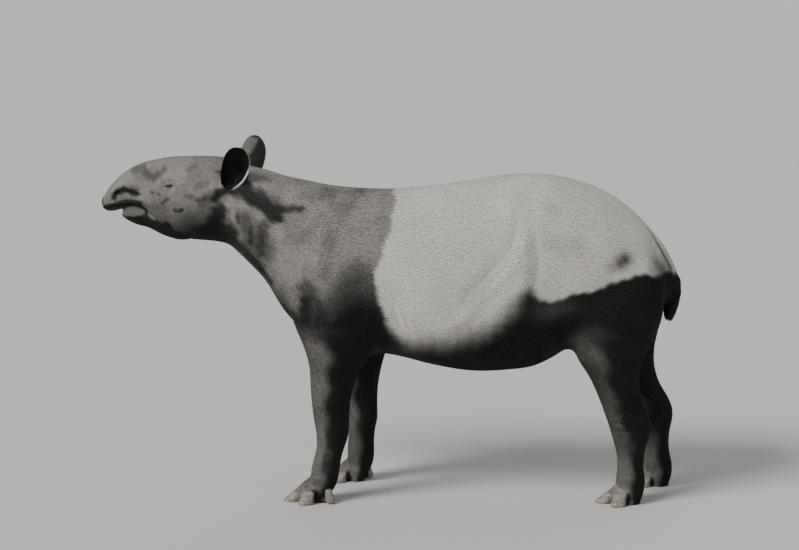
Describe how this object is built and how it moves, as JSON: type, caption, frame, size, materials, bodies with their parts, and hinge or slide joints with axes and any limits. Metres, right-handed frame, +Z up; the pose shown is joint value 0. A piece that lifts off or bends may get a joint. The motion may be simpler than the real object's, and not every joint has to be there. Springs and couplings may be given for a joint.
{
  "type": "standing malayan tapir model",
  "caption": "Life-size still model of a standing Malayan tapir with a drooping snout, cupped ears, a pale saddle over a black body, a short tail and hoofed toes.",
  "frame": {"origin": "on the floor under the middle of the animal's bounding box", "axes": "+X from the snout towards the tail, -Y out of the animal's left side, +Z up"},
  "size_m": [1.8906, 0.5393, 1.1571],
  "materials": {
    "black_hide": "short black hair lying flat on hide",
    "white_hide": "short grey-white hair lying flat on hide",
    "hoof": "dull horn",
    "eye": "wet and glossy"
  },
  "bodies": {
    "root": {"head": "black_hide", "neck": "black_hide", "torso": "white_hide", "tail": "black_hide", "left_ear": "black_hide", "right_ear": "black_hide", "left_eye": "eye", "right_eye": "eye", "front_left_leg": "black_hide", "front_left_foot": "black_hide", "front_left_middle_hoof": "hoof", "front_left_inner_hoof": "hoof", "front_left_outer_hoof": "hoof", "front_left_little_hoof": "hoof", "front_right_leg": "black_hide", "front_right_foot": "black_hide", "front_right_middle_hoof": "hoof", "front_right_inner_hoof": "hoof", "front_right_outer_hoof": "hoof", "front_right_little_hoof": "hoof", "hind_left_leg": "black_hide", "hind_left_foot": "black_hide", "hind_left_middle_hoof": "hoof", "hind_left_inner_hoof": "hoof", "hind_left_outer_hoof": "hoof", "hind_right_leg": "black_hide", "hind_right_foot": "black_hide", "hind_right_middle_hoof": "hoof", "hind_right_inner_hoof": "hoof", "hind_right_outer_hoof": "hoof"}
  },
  "joints": []
}
